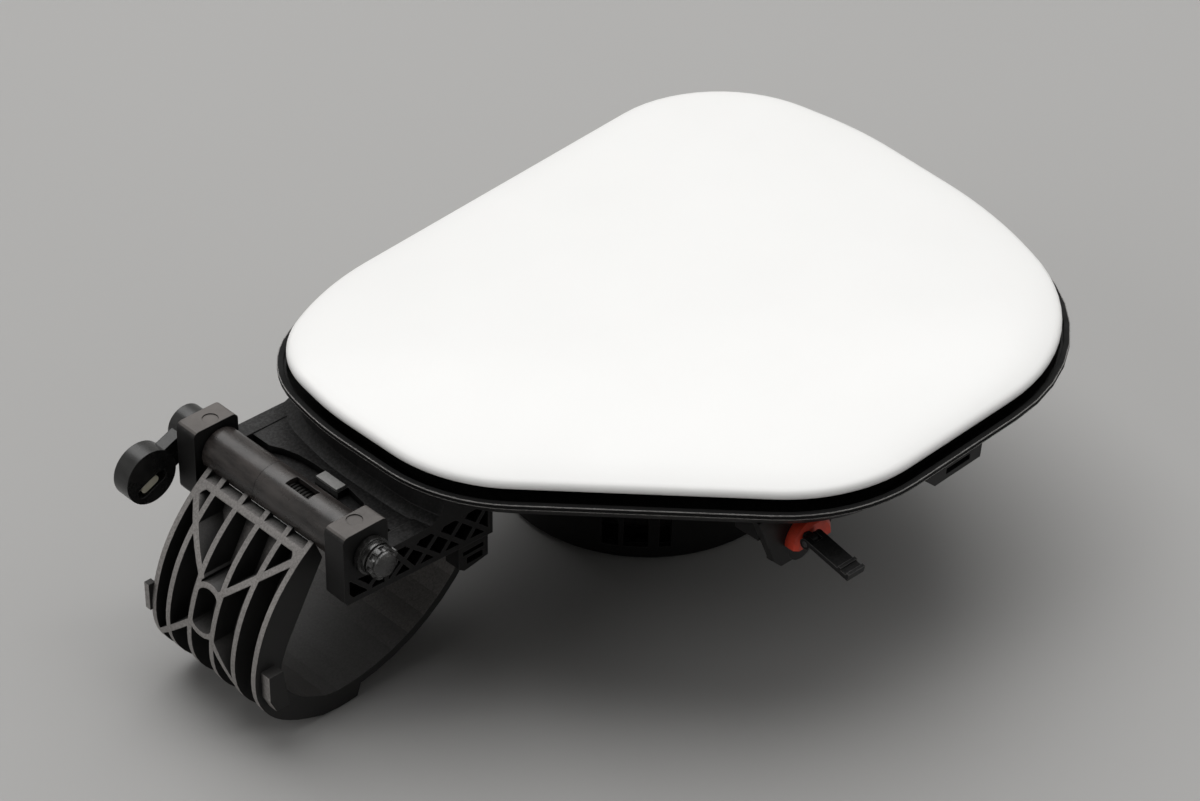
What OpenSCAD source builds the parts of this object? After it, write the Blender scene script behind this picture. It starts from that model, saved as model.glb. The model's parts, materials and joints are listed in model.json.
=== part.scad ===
// Charging port door: a painted lid on a gooseneck hinge, closed on its moulded housing.
// Millimetres, +Z up. The origin is the centre of the inlet bore, on the pot's bottom face.

/* [Door] */
// Height of the door skin's lower edge
skin_z = 80.6; // [80:0.1:82]
// Height of the skin's rolled edge, from its lower edge to the start of the crown
skin_edge_h = 3.8; // [3:0.1:5]
// Rise of the crown over the rolled edge
crown_h = 3.2; // [2:0.1:5]
// Wall thickness of the skin
skin_t = 2.4; // [1.6:0.1:3]

/* [Housing] */
// Height of the rim's top face
rim_z = 76.4; // [75:0.1:77]
// Distance the rim stands out past the door skin
rim_grow = 2.3; // [1.5:0.1:4]
// Height of the tray floor's top face
floor_z = 71.7; // [71:0.1:72.2]
// Thickness of the tray floor
floor_t = 2.2; // [1.8:0.1:2.6]
// Distance the foot of the tray's wall stands inside the door skin
foot_inset = 4; // [3:0.5:6]
// Wall thickness of the tray and the pot
wall_t = 2.2; // [1.8:0.1:3]

/* [Inlet pot] */
// Outer radius of the pot at its bottom
pot_r = 47; // [46:0.5:50]
// Thickness of the pot's bottom
pot_floor_t = 3; // [2.5:0.1:5]
// Radius of the bore for the charging inlet
inlet_r = 34; // [30:0.5:35]
// Diameter of the circle through the inlet's screw holes
inlet_pcd = 79; // [76:0.5:82]
// Radius of the inlet's screw holes
inlet_hole_r = 2.6; // [2:0.1:3]

/* [Hinge] */
// Height of the hinge axis, and outer radius of the gooseneck's ribs
hinge_z = 66; // [66:1:66]
// Distance of the hinge axis behind the inlet bore
hinge_back = 145; // [145:1:146]
// Outer radius of the barrel
barrel_r = 6.9; // [6.5:0.1:7]
// Radius of the hinge pin
pin_r = 2.5; // [2:0.1:3]
// Radial clearance of the pin in its bushes
pin_gap = 0.05; // [0.02:0.01:0.08]
// Thickness of each ear
ear_t = 8; // [7:0.5:8]
// Length of each ear along the swing plane
ear_w = 16; // [14:0.5:17]

/* [Gooseneck arm] */
// Width of the arm across its ribs
arm_w = 47; // [44:1:48]
// Thickness of the arm's ribs
rib_t = 1.9; // [1.5:0.1:2.4]
// Thickness of the arm's inner sheet
sheet_t = 2.6; // [2:0.1:3]
// Inner radius of the leg, measured from the hinge axis
leg_in_r = 59.5; // [59:0.1:60]

/* [Lock] */
// Radius of the locking pin
lock_r = 3; // [2.5:0.1:3.2]
// Travel of the locking pin
lock_travel = 7; // [6:0.5:8]
// Outer radius of the red collar over the lock
collar_r = 7.6; // [7:0.1:8]

/* [Hidden] */
$fn = 48;

// The door outline is a convex polygon of corners, each with its rounding radius.
door_corners = [
  [-85.5, 51, 93], [88, 65.5, 43], [97.5, 3.5, 119.5], [93, -56.5, 149], [68.5, -122.5, 68.5],
  [-44, -127, 50.5], [-123.5, -44.5, 50], [-124, 2.5, 101], [-118.5, 35, 34.5]
];
door_middle = [-10, -32];
corner_steps = 8;
eps = 0.02;
cut = 1;

// Height of the rim's upright edge.
rim_lip = 1;

// Hinge places. The barrel lies between the ears, with a small gap at each end.
ear_gap = 0.4;
near_ear_y = -31;
far_ear_y = 26.5;
ear_front = -9;
ear_top = 9;
ear_drop = 14.5;
ear_round = 2;
mark_r = 2.4;
mark_deep = 0.35;
chord_from = [-8, -13.6];
chord_to = [45, -16.2];
chord_t = 1.8;
sleeve_y = 3;
bush_r = 4.2;
spring_r = 5.3;
collar_len = 3.9;

// The hinge plate stands lower than the tray floor, and a coved box joins the two.
plate_front = 13.5 - hinge_back;
plate_end = 48 - hinge_back;
plate_z = 63;
plate_t = 2.5;

// The slot in the plate's front edge, and the pad that lies across it.
plate_slot = 4;
plate_notch = [[2, 17], [3.4, 12], [4, 6], [4, -8], [2.6, -18]];
pad_y = -9;
pad_len = 9;
cove_z = plate_z + 2;

// Rib places across the arm, and the height of the bar under the barrel, from the axis.
rib_ys = [22.55, 16.1, 6.3, -3.7, -13.4, -22.55];
top_bar_z = -4.6;

// The arm's faces in the swing plane, from the hinge axis.
inner_face = [
  [-4, -8.5], [-8.6, -16.6], [-13.4, -25], [-18, -33.4], [-20.4, -41], [-18.9, -48],
  [-13.2, -54.3], [-4.6, -58.8]
];
outer_face = [
  [-6.6, -1.8], [-12.4, -6.4], [-19.4, -14], [-24.8, -22.6], [-28.3, -32], [-29.7, -41],
  [-28.3, -49.2], [-23.2, -56.6], [-15.2, -61.9], [-6, -65.4]
];
leg_from = -90;
leg_to = -10;
leg_steps = 12;
leg_out_r = leg_in_r + sheet_t;
rib_out_r = hinge_z;
rib_step = -84;
shallow_rib_r = leg_out_r + 2.2;

// The pad that carries the door on the arm.
pad_to = 87;
pad_t = 3;
screw_xs = [71, 81];
screw_ys = [-15, 15];

// The well in the tray floor that the leg swings through.
well_from = 58 - hinge_back;
well_to = 72 - hinge_back;
well_half = arm_w / 2 + 2.5;

// Lock places: the bracket's outer plane, the locking pin's tip at rest, and the tab's pivot.
lock_x = -42;
lock_z = 53.4;
lock_body_r = 5.2;
lock_front = -92;
latch_back = -106;
bracket_t = 3;
striker_y = -89;
tab_x = -45;
tab_y = -112.8;
tab_z = 60.4;
tab_w = 6.6;
tab_tilt = 12;
tab_pivot_r = 0.8;
lug_w = 2.2;
nose_r = 1.6;
collar_x = -41.5;
collar_z = 56.6;
latch_screw_xs = [-49.2, -34.8];
latch_screw_z = 56;

// Door heights.
inner_top = skin_z + 1;
inner_t = 2.4;
inner_inset = 2.6;
inner_under = inner_top - inner_t;
ring_drop = 3;
pad_z = inner_under - pad_t - hinge_z;
crown_steps = [[0.88, 0.42], [0.72, 0.72], [0.5, 0.91], [0.25, 0.99]];

// The seal on the pot's mouth, and the room round it under the door.
seal_room_r = 56;
collar_up = 2;
buffer_places = [[62, -78], [72, 30], [-79, 33], [-84, -48]];

// The drain spigot at the pot's low corner.
spigot_r = 4;
spigot_bore = 2.4;
spigot_z = 9;
spigot_seat = 50;
spigot_end = 60;

// The drive lever on the pin's far end.
lever_from = far_ear_y + ear_t + 1.6;
lever_to = far_ear_y + ear_t + 8;
boss_at = [-17.6, -7.2];
slot_at = boss_at - [0, 2.4];
slot_turn = 24;

// The middle of a list's neighbours, used to round a run of points.
function blend_point(a, b, c, d, t) =
  0.5 * ((2 * b) + (c - a) * t + (2 * a - 5 * b + 4 * c - d) * t * t
  + (3 * b - a - 3 * c + d) * t * t * t);

// A smooth run of points through the given ones, with n steps between each pair.
function smooth(p, n) = [
  for (i = [0:len(p) - 2], k = [0:n - 1])
    blend_point(p[max(i - 1, 0)], p[i], p[i + 1], p[min(i + 2, len(p) - 1)], k / n),
  p[len(p) - 1]
];

function unit(v) = v / norm(v);
function xy(c) = [c[0], c[1]];
function chord_z(x) = chord_from[1]
  + (chord_to[1] - chord_from[1]) * (x - chord_from[0]) / (chord_to[0] - chord_from[0]);
function reversed(p) = [for (i = [len(p) - 1:-1:0]) p[i]];
function arc(r, from, to, n) = [
  for (i = [0:n]) let(a = from + (to - from) * i / n) r * [cos(a), sin(a)]
];

// Points along one rounded corner of the door outline, moved outwards by grow.
function corner_points(a, b, c, r, grow) =
  let(
    u = unit(a - b),
    w = unit(c - b),
    half = acos(u * w) / 2,
    middle = b + unit(u + w) * r / sin(half),
    from = atan2((b + u * r / tan(half) - middle)[1], (b + u * r / tan(half) - middle)[0]),
    swing = 180 - 2 * half
  )
  [for (k = [0:corner_steps]) middle + (r + grow) * [
    cos(from - swing * k / corner_steps), sin(from - swing * k / corner_steps)]];

function outline_points(grow) =
  let(n = len(door_corners))
  [for (i = [0:n - 1]) each corner_points(
    xy(door_corners[(i + n - 1) % n]), xy(door_corners[i]), xy(door_corners[(i + 1) % n]),
    door_corners[i][2], grow)];

module outline(grow = 0) {
  polygon(outline_points(grow));
}

// A thin slice of the outline at one height. Slices are hulled into walls with draft.
module slice(grow, z) {
  translate([0, 0, z]) linear_extrude(eps) outline(grow);
}

// A thin slice of the outline drawn smaller about the door's middle, for the crown.
module crown_slice(k, z) {
  translate([door_middle[0] * (1 - k), door_middle[1] * (1 - k), z])
    linear_extrude(eps) scale(k) outline(0);
}

// A 2-D shape in the swing plane, extruded across the hinge from y0 to y1.
module across(y0, y1) {
  translate([-hinge_back, y1, hinge_z]) rotate([90, 0, 0]) linear_extrude(y1 - y0) children();
}

// A cylinder or a tube along the hinge axis from y0 to y1.
module hinge_rod(r, y0, y1, bore = 0) {
  across(y0, y1) difference() {
    circle(r);
    if (bore > 0) circle(bore);
  }
}

// A straight bar of width t from p to q.
module bar(p, q, t) {
  d = q - p;
  translate(p) rotate(atan2(d[1], d[0])) translate([0, -t / 2]) square([norm(d), t]);
}

// A rectangle with rounded corners, from its low corner.
module soft_rect(size, r) {
  polygon([for (c = [[size[0] - r, size[1] - r, 0], [r, size[1] - r, 90], [r, r, 180],
    [size[0] - r, r, 270]]) each [for (p = arc(r, c[2], c[2] + 90, 4)) [c[0], c[1]] + p]]);
}

// Solid of the tray, inset by t: a flared rim over a foot that stands inside the door.
module tray_form(t, z0, z1) {
  hull() {
    slice(rim_grow - t, z1);
    slice(rim_grow - 0.2 - t, rim_z - rim_lip);
  }
  hull() {
    slice(rim_grow - 0.2 - t, rim_z - rim_lip);
    slice(-foot_inset - t, z0);
  }
}

module tray() {
  difference() {
    tray_form(0, floor_z - floor_t, rim_z - eps);
    tray_form(wall_t, floor_z, rim_z + cut);
  }
}

// One X-ribbed cheek in the swing plane: two chords with crossed ribs between them.
module cheek_truss() {
  bottom = [[7, chord_z(7)], chord_to];
  top = [[9, -5], [45, -5]];
  bays = 4;
  bar(chord_from, chord_to, chord_t);
  bar([2, -3.6], [45, -4.2], 2.2);
  bar([45, chord_to[1] - 0.9], [45, -4], chord_t);
  for (i = [0:bays - 1]) {
    low0 = bottom[0] + (bottom[1] - bottom[0]) * i / bays;
    low1 = bottom[0] + (bottom[1] - bottom[0]) * (i + 1) / bays;
    high0 = top[0] + (top[1] - top[0]) * max(0, i - 0.4) / bays;
    high1 = top[0] + (top[1] - top[0]) * (i + 1) / bays;
    bar(low0, high1, rib_t * 0.8);
    bar(high0, low1, rib_t * 0.8);
  }
}

// The thin web behind the cheek's ribs.
module cheek_web() {
  polygon([[-5, chord_z(-5)], [45.5, chord_z(45.5)], [45.5, -3.2], [3, -3.2], [3, 2], [-5, 2]]);
}

module ear_face() {
  translate([ear_front, -ear_drop]) soft_rect([ear_w, ear_drop + ear_top], ear_round);
}

// The pocket in an ear's foot, with its one slanted rib left standing.
module ear_pocket() {
  difference() {
    polygon([
      [ear_front + 1.8, -6.6], [-1.5, -7.4], [5.4, -7.4], [5.4, chord_z(5.4) + 1], [0, chord_z(0) + 1],
      [ear_front + 3.2, chord_z(ear_front + 3.2) + 1], [ear_front + 1.8, -11]
    ]);
    bar([ear_front, -3.4], [0.6, -13], rib_t * 0.8);
    bar([-1, -12.6], [8, -5.6], rib_t * 0.8);
  }
}

// An ear with its cheek. side is -1 for the near one, and outer_y is the ear's outer plane.
module ear_and_cheek(y0, y1, outer_y, side) {
  web_t = 2;
  pocket_y = outer_y - side * (ear_t - 3);
  difference() {
    across(y0, y1) ear_face();
    across(min(outer_y, pocket_y) - cut * max(0, -side), max(outer_y, pocket_y) + cut * max(0, side))
      ear_pocket();
    translate([-hinge_back - 0.6, (y0 + y1) / 2 - side, hinge_z + ear_top - mark_deep])
      cylinder(h = cut, r = mark_r);
  }
  across(min(outer_y, outer_y - side * (ear_t - 2)), max(outer_y, outer_y - side * (ear_t - 2)))
    cheek_truss();
  web_y = outer_y - side * (ear_t - 2);
  across(min(web_y, web_y + side * web_t), max(web_y, web_y + side * web_t)) cheek_web();
}

module hinge_plate() {
  translate([0, 0, plate_z - plate_t]) linear_extrude(plate_t) {
    difference() {
      translate([plate_front, near_ear_y - ear_t])
        square([plate_end - plate_front, far_ear_y - near_ear_y + 2 * ear_t]);
      polygon([for (p = concat([[-1, 21], [0, 21]], plate_notch, [[0, -21], [-1, -21]]))
        [plate_front + p[0], p[1]]]);
    }
    translate([plate_front, pad_y - 0.5]) square([plate_slot + 0.5, pad_len + 1]);
  }
}

// The coved box between the hinge plate and the tray, open towards the pot.
module hinge_box() {
  width = far_ear_y - near_ear_y + 2 * ear_t;
  intersection() {
    difference() {
      union() {
        hull() {
          slice(1.4, plate_z - 0.1);
          slice(-2.6, cove_z);
        }
        hull() {
          slice(-2.6, cove_z);
          slice(-foot_inset - 0.5, floor_z - floor_t + 0.4);
        }
      }
      intersection() {
        translate([0, 0, plate_z]) linear_extrude(floor_z) outline(-foot_inset - wall_t);
        translate([-200, near_ear_y - ear_t + wall_t, plate_z])
          cube([200, width - 2 * wall_t, floor_z]);
      }
    }
    translate([-200, near_ear_y - ear_t, plate_z - plate_t])
      cube([200 + plate_end, width, floor_z - plate_z + plate_t - 1]);
  }
}

// The pot's shell with its bottom.
module pot() {
  top_r = pot_r + 1.5;
  rotate_extrude($fn = 96) difference() {
    polygon([[0, 0], [pot_r - 1.2, 0], [pot_r, 1.2], [top_r, floor_z - eps], [0, floor_z - eps]]);
    polygon([
      [0, pot_floor_t], [pot_r - wall_t, pot_floor_t], [top_r - wall_t, floor_z + cut],
      [0, floor_z + cut]
    ]);
  }
}

// The raised collar round the pot's mouth, which holds the pocket seal.
module pot_collar() {
  translate([0, 0, floor_z - 1]) rotate_extrude($fn = 96)
    translate([pot_r - 0.7, 0]) square([wall_t, collar_up + 1]);
}

// Upright gussets between the pot and the tray floor.
module pot_gussets() {
  for (a = [-130, -98, -50, -15, 20, 62, 100, 128])
    rotate(a) translate([pot_r - 0.6, wall_t / 2, 0]) rotate([90, 0, 0])
      linear_extrude(wall_t) polygon([[0, 42], [3, 42], [12, floor_z - 1.5], [0, floor_z - 1.5]]);
}

// Snap windows in the pot's wall for the inlet's clips.
module pot_windows() {
  for (w = [[-147, 5.3], [-137.3, 7.6], [-126.3, 3.7], [38, 9], [128, 9]])
    rotate(w[0]) translate([pot_r - 6, -w[1] / 2, 5]) cube([12, w[1], 11]);
}

module inlet_holes() {
  translate([0, 0, -cut]) cylinder(h = pot_floor_t + 2 * cut, r = inlet_r, $fn = 96);
  for (a = [45:90:315]) rotate(a) translate([inlet_pcd / 2, 0, -cut])
    cylinder(h = pot_floor_t + 2 * cut, r = inlet_hole_r);
}

module spigot(r, from, to) {
  translate([0, from, spigot_z]) rotate([-90, 0, 0]) cylinder(h = to - from, r = r);
}

// A 2-D shape in the X-Z plane, extruded from y0 to y1.
module along_y(y0, y1) {
  translate([0, y1, 0]) rotate([90, 0, 0]) linear_extrude(y1 - y0) children();
}

// A disc or a ring at the lock's axis, from y0 to y1.
module lock_rod(r, y0, y1, bore = 0) {
  along_y(y0, y1) translate([lock_x, lock_z]) difference() {
    circle(r);
    if (bore > 0) circle(bore);
  }
}

// The bracket under the tray that holds the lock, with two gussets behind it.
module lock_bracket() {
  top = floor_z - floor_t + 0.1;
  along_y(latch_back, latch_back + bracket_t) polygon([
    [-60, top], [-52.5, 52], [-50, 49.5], [-34, 49.5], [-31.5, 52], [-24, top]
  ]);
  for (x = [lock_x - 15, lock_x + 12.8])
    translate([x, latch_back + bracket_t - 0.1, top - 9]) cube([wall_t, 9, 9]);
}

module lock_slots() {
  translate([lock_x - 5.5, striker_y - 5, floor_z - floor_t - cut])
    cube([13, 10, floor_t + 2 * cut]);
  lock_rod(lock_body_r + 0.03, latch_back - cut, latch_back + bracket_t + cut);
  along_y(latch_back - cut, latch_back + bracket_t + cut)
    translate([tab_x, tab_z]) circle(nose_r + 0.03, $fn = 24);
  for (x = latch_screw_xs) along_y(latch_back + 1, latch_back + bracket_t + cut)
    translate([x, latch_screw_z]) circle(1, $fn = 24);
}

// Ribs under the tray floor, from the pot to the wall.
module floor_ribs() {
  for (a = [-72, -30, 5, 40]) intersection() {
    rotate(a) translate([pot_r, -wall_t / 2, floor_z - floor_t - 3]) cube([120, wall_t, 3.1]);
    translate([0, 0, floor_z - 20]) linear_extrude(30) outline(-foot_inset - 5);
  }
}

module housing() {
  color([0.10, 0.10, 0.11]) difference() {
    union() {
      tray();
      hinge_plate();
      hinge_box();
      pot();
      pot_collar();
      pot_gussets();
      floor_ribs();
      spigot(spigot_r, pot_r - 1, spigot_end);
      spigot(spigot_r + 2, pot_r - 1, spigot_seat);
      lock_bracket();
      ear_and_cheek(near_ear_y - ear_t, near_ear_y, near_ear_y - ear_t, -1);
      ear_and_cheek(far_ear_y, far_ear_y + ear_t, far_ear_y + ear_t, 1);
    }
    translate([0, 0, pot_floor_t]) cylinder(h = 90, r = pot_r - wall_t, $fn = 96);
    inlet_holes();
    pot_windows();
    spigot(spigot_bore, pot_r - 6, spigot_end + cut);
    lock_slots();
    hinge_rod(bush_r, near_ear_y - ear_t - cut, near_ear_y + cut);
    hinge_rod(bush_r, far_ear_y - cut, far_ear_y + ear_t + cut);
    translate([well_from, -well_half, floor_z - 10])
      cube([well_to - well_from, 2 * well_half, 20]);
  }
}

// Soft lip along the rim's top edge.
module rim_seal() {
  color([0.16, 0.16, 0.17]) difference() {
    translate([0, 0, rim_z - 0.5]) linear_extrude(1.5) outline(rim_grow + 0.5);
    translate([0, 0, rim_z - 2]) linear_extrude(2) outline(rim_grow);
    translate([0, 0, rim_z - cut]) linear_extrude(4) outline(rim_grow - 1.4);
  }
}

// Ring seal on the pot's collar, with a thin lip that the closed door nearly touches.
module pocket_seal() {
  color([0.08, 0.08, 0.08]) translate([0, 0, floor_z]) rotate_extrude($fn = 96)
    translate([pot_r - 0.7, collar_up]) polygon([
      [-1.4, 0], [wall_t + 1.4, 0], [wall_t + 1.4, 1.2], [wall_t + 1.8, 2.8], [wall_t + 3.1, 4.6],
      [wall_t + 2.3, 5], [wall_t + 0.7, 3.3], [wall_t - 0.6, 1.6], [-1.4, 1.2]
    ]);
}

module inlet_gasket() {
  color([0.12, 0.12, 0.12]) translate([0, 0, pot_floor_t]) rotate_extrude($fn = 96)
    translate([pot_r - wall_t - 2.6, 0]) square([1.8, 1.5]);
}

// A plain bush through an ear, with the pin's running clearance.
module bush(y0, y1) {
  color([0.75, 0.73, 0.66]) hinge_rod(bush_r, y0, y1, pin_r + pin_gap);
}

module near_bush() {
  bush(near_ear_y - ear_t, near_ear_y);
}

module far_bush() {
  bush(far_ear_y, far_ear_y + ear_t);
}

// Pad on the plate's front edge, behind the barrel.
module stop_pad() {
  color([0.55, 0.55, 0.54]) translate([plate_front, pad_y, plate_z]) cube([3.5, pad_len, 0.8]);
}

// Spring clip under the near cheek, open at its foot.
module hinge_side_clip() {
  clip_x = 33;
  clip_w = 11;
  chord_low = chord_t / 2 / cos(atan2(chord_from[1] - chord_to[1], chord_to[0] - chord_from[0]));
  color([0.08, 0.08, 0.09]) translate([0, near_ear_y - ear_t, 0]) across(0, 5.8)
    difference() {
      polygon([
        [clip_x, chord_z(clip_x) - chord_low], [clip_x + clip_w, chord_z(clip_x + clip_w) - chord_low],
        [clip_x + clip_w, -24], [clip_x + 2, -25.4], [clip_x, -24]
      ]);
      translate([clip_x + 3, -23.4]) square([clip_w - 5, 2.2]);
      translate([clip_x + 1.6, -20]) square([clip_w - 3.2, 1.4]);
    }
}

// Clip that hangs under the near edge of the tray.
module edge_clip() {
  clip_len = 25;
  color([0.09, 0.09, 0.10]) translate([-9.2, -122.4, floor_z - floor_t]) rotate([90, 0, 2.3])
    translate([0, 0, -3.4]) linear_extrude(3.4) difference() {
      polygon([[0, 0], [clip_len, 0], [clip_len - 0.6, -5.6], [4.2, -5.6], [0, -1.8]]);
      translate([9, -3.9]) square([10.5, 2]);
    }
}

// Rubber buffers on the tray floor that the closed door stands just clear of.
module rubber_buffers() {
  up = inner_under - floor_z - 0.3;
  color([0.07, 0.07, 0.07]) for (p = buffer_places) translate([p[0], p[1], floor_z])
    rotate_extrude($fn = 32) polygon([
      [0, 0], [5.5, 0], [5.5, 1.4], [3.6, 2.8], [3.6, up - 2.1], [4.4, up - 0.8], [3, up], [0, up]
    ]);
}

// The lock's case: a round body through the bracket, a flange behind it, and the tab's lug.
module latch_body() {
  flange_t = 2;
  flange_y = latch_back + bracket_t;
  color([0.10, 0.10, 0.11]) difference() {
    union() {
      lock_rod(lock_body_r, latch_back, lock_front - 2);
      along_y(flange_y, flange_y + flange_t)
        polygon([[-52, 63], [-50.8, 50], [-33.2, 50], [-32, 63]]);
      along_y(tab_y + 2.1, flange_y + 0.1)
        translate([tab_x, tab_z]) circle(nose_r, $fn = 24);
      translate([tab_x - lug_w / 2, tab_y, tab_z]) rotate([0, 90, 0])
        cylinder(h = lug_w, r = nose_r - 0.1, $fn = 32);
      translate([tab_x - lug_w / 2, tab_y, tab_z - nose_r * 0.7])
        cube([lug_w, 2.3, nose_r * 1.4]);
    }
    lock_rod(lock_r + 0.05, latch_back + 0.8, lock_front);
    translate([tab_x - lug_w, tab_y, tab_z]) rotate([0, 90, 0])
      cylinder(h = 2 * lug_w, r = tab_pivot_r, $fn = 24);
    for (x = latch_screw_xs) along_y(flange_y - cut, flange_y + flange_t + cut)
      translate([x, latch_screw_z]) circle(1, $fn = 24);
  }
}

// Red collar that stands on the bracket over the lock, round above and flat below.
module latch_collar() {
  front = tab_y + 2.2;
  color([0.78, 0.16, 0.10]) difference() {
    translate([collar_x, latch_back, collar_z]) rotate([90, 0, 0]) rotate_extrude($fn = 64)
      polygon([
        [0, 0], [collar_r, 0], [collar_r, latch_back - front - 1.2],
        [collar_r - 1.2, latch_back - front], [0, latch_back - front]
      ]);
    translate([collar_x - 20, latch_back - 20, collar_z - 20.2]) cube([40, 40, 20]);
    along_y(front - cut, latch_back + cut) translate([tab_x, tab_z]) circle(nose_r + 0.03, $fn = 24);
    lock_rod(lock_body_r + 0.03, latch_back - 10, latch_back + cut);
  }
}

module latch_screws() {
  head_y = latch_back + bracket_t + 2;
  color([0.6, 0.6, 0.6]) for (x = latch_screw_xs) {
    along_y(latch_back + 1, head_y + 0.1) translate([x, latch_screw_z]) circle(1, $fn = 24);
    along_y(head_y, head_y + 1.2) translate([x, latch_screw_z]) circle(1.7, $fn = 24);
  }
}

module tab_pivot() {
  color([0.65, 0.65, 0.66]) translate([tab_x - tab_w / 2, tab_y, tab_z])
    rotate([0, 90, 0]) cylinder(h = tab_w, r = tab_pivot_r, $fn = 24);
}

// Release tab with two grip ridges across its end, and a slot for the lug at its root.
module release_tab() {
  tab_len = 17;
  color([0.12, 0.12, 0.13]) translate([tab_x - tab_w / 2, tab_y, tab_z])
    rotate([tab_tilt, 0, 0]) difference() {
      union() {
        translate([0, -tab_len, 0.2]) cube([tab_w, tab_len, 1.6]);
        rotate([0, 90, 0]) cylinder(h = tab_w, r = 1.8);
        for (y = [-tab_len, -tab_len + 3.2]) translate([0, y, 1.7]) cube([tab_w, 1.1, 0.9]);
      }
      translate([-cut, 0, 0]) rotate([0, 90, 0])
        cylinder(h = tab_w + 2 * cut, r = tab_pivot_r + 0.06, $fn = 24);
      translate([tab_w / 2 - lug_w / 2 - 0.3, -2.1, -2.5]) cube([lug_w + 0.6, 5, 5]);
    }
}

module lock_pin() {
  color([0.62, 0.63, 0.65]) {
    lock_rod(lock_r, latch_back + 1, lock_front - 0.4);
    lock_rod(lock_r - 0.7, lock_front - 0.5, lock_front);
  }
}

// The arm's inner face, from the barrel to the door pad, in the swing plane.
function arm_inner() = concat(
  smooth(inner_face, 3), arc(leg_in_r, leg_from, leg_to, leg_steps), [[leg_in_r, pad_z + 1]]);

// The same run moved outwards by the sheet's thickness.
function moved_out(p, t) = [
  for (i = [0:len(p) - 1])
    let(d = unit(p[min(i + 1, len(p) - 1)] - p[max(i - 1, 0)]))
    p[i] + t * [d[1], -d[0]]
];

// The deep part of the ribs, from the barrel to the step at the start of the leg.
function band_inner() = concat(
  smooth(inner_face, 3), arc(leg_in_r, leg_from, rib_step + 3, 2));
function band_outer() = concat(smooth(outer_face, 3), arc(rib_out_r, leg_from, rib_step, 2));

module arm_sheet_face() {
  polygon(concat(arm_inner(), reversed(moved_out(arm_inner(), sheet_t))));
}

module arm_band_face() {
  polygon(concat(band_inner(), reversed(band_outer())));
}

// A shallow rib along the leg's outer side.
module leg_rib_face() {
  polygon(concat(
    arc(leg_out_r - 1, rib_step - 1, leg_to, leg_steps),
    reversed(arc(shallow_rib_r, rib_step - 1, leg_to - 3, leg_steps))));
}

// The oval between the two middle ribs, with half-axes a and b at its round ends.
module ring_face(a, b) {
  middle = (rib_ys[2] + rib_ys[3]) / 2;
  polygon(concat(
    [for (p = arc(1, 0, 180, 10)) [middle + a * p[0], -25.8 + b * p[1]]],
    [for (p = arc(1, 180, 360, 10)) [middle + a * p[0], -34.2 + b * p[1]]]));
}

// Slanted ribs, the top bar and the oval ring, as seen from behind the hinge.
module rib_pattern() {
  half = arm_w / 2;
  bar([-half, top_bar_z], [half, top_bar_z], 1.4);
  bar([half - 1.3, -6.2], [rib_ys[2] - 1, -22.4], rib_t);
  bar([1.3 - half, -6.2], [rib_ys[3] + 1, -23.4], rib_t);
  bar([rib_ys[2] - 1, -35], [half - 1.3, -49.5], rib_t);
  bar([rib_ys[3] + 1, -36], [rib_ys[4], -47.5], rib_t);
  difference() {
    ring_face(5.9, 3.8);
    ring_face(4.1, 2.2);
  }
  for (s = [-1, 1]) translate([s * 20.4, top_bar_z - 1.3]) difference() {
    square([4, 2.6], center = true);
    translate([-s * 2, -1.3]) circle(2, $fn = 24);
  }
}

module arm_ribs() {
  half = arm_w / 2;
  for (y = rib_ys) across(y - rib_t / 2, y + rib_t / 2) arm_band_face();
  for (y = [rib_ys[2], rib_ys[3]]) across(y - rib_t / 2, y + rib_t / 2) leg_rib_face();
  intersection() {
    across(-half, half) arm_band_face();
    translate([-hinge_back - 40, 0, hinge_z]) rotate([90, 0, 90]) linear_extrude(37) rib_pattern();
  }
}

// The two stops on the arm's sides.
module arm_stops() {
  half = arm_w / 2;
  across(-half - 3.6, -half + 0.1)
    polygon([[-27.4, -37.4], [-27.4, -46], [-25.4, -50.4], [-20.6, -50.4], [-22.4, -37.4]]);
  across(half - 0.1, half + 2) translate([-30.4, -41.4]) square([2.4, 9.2]);
}

module arm_pad() {
  half = arm_w / 2;
  difference() {
    across(-half + 3, half - 3) translate([leg_in_r, pad_z]) square([pad_to - leg_in_r, pad_t]);
    for (x = screw_xs, y = screw_ys) translate([x - hinge_back, y, hinge_z + pad_z - cut])
      cylinder(h = pad_t + 2 * cut, r = 1.7, $fn = 24);
  }
  for (y = [-half + 4, 0, half - 4]) across(y - rib_t / 2, y + rib_t / 2)
    polygon([
      [leg_in_r + 1, 6.6], [leg_in_r + 1, pad_z + 0.1], [pad_to - 3, pad_z + 0.1], [leg_out_r + 3, 6.6]
    ]);
}

module gooseneck_arm() {
  half = arm_w / 2;
  color([0.11, 0.11, 0.12]) difference() {
    union() {
      across(-half, half) arm_sheet_face();
      arm_ribs();
      hinge_rod(barrel_r, sleeve_y, far_ear_y - ear_gap);
      arm_stops();
      arm_pad();
    }
    hinge_rod(pin_r, sleeve_y - cut, far_ear_y);
    hinge_rod(barrel_r + 0.05, near_ear_y, sleeve_y);
    across(half - 6, half + cut) translate([-7.4, -7.6]) circle(1.5, $fn = 24);
  }
}

// The near part of the barrel: a sleeve round the spring, with a window in its top.
module barrel_sleeve() {
  color([0.13, 0.13, 0.14]) difference() {
    hinge_rod(barrel_r, near_ear_y + ear_gap, sleeve_y, spring_r);
    across(-16, -6) translate([-2.25, 3]) square([4.5, 6]);
  }
}

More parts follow.
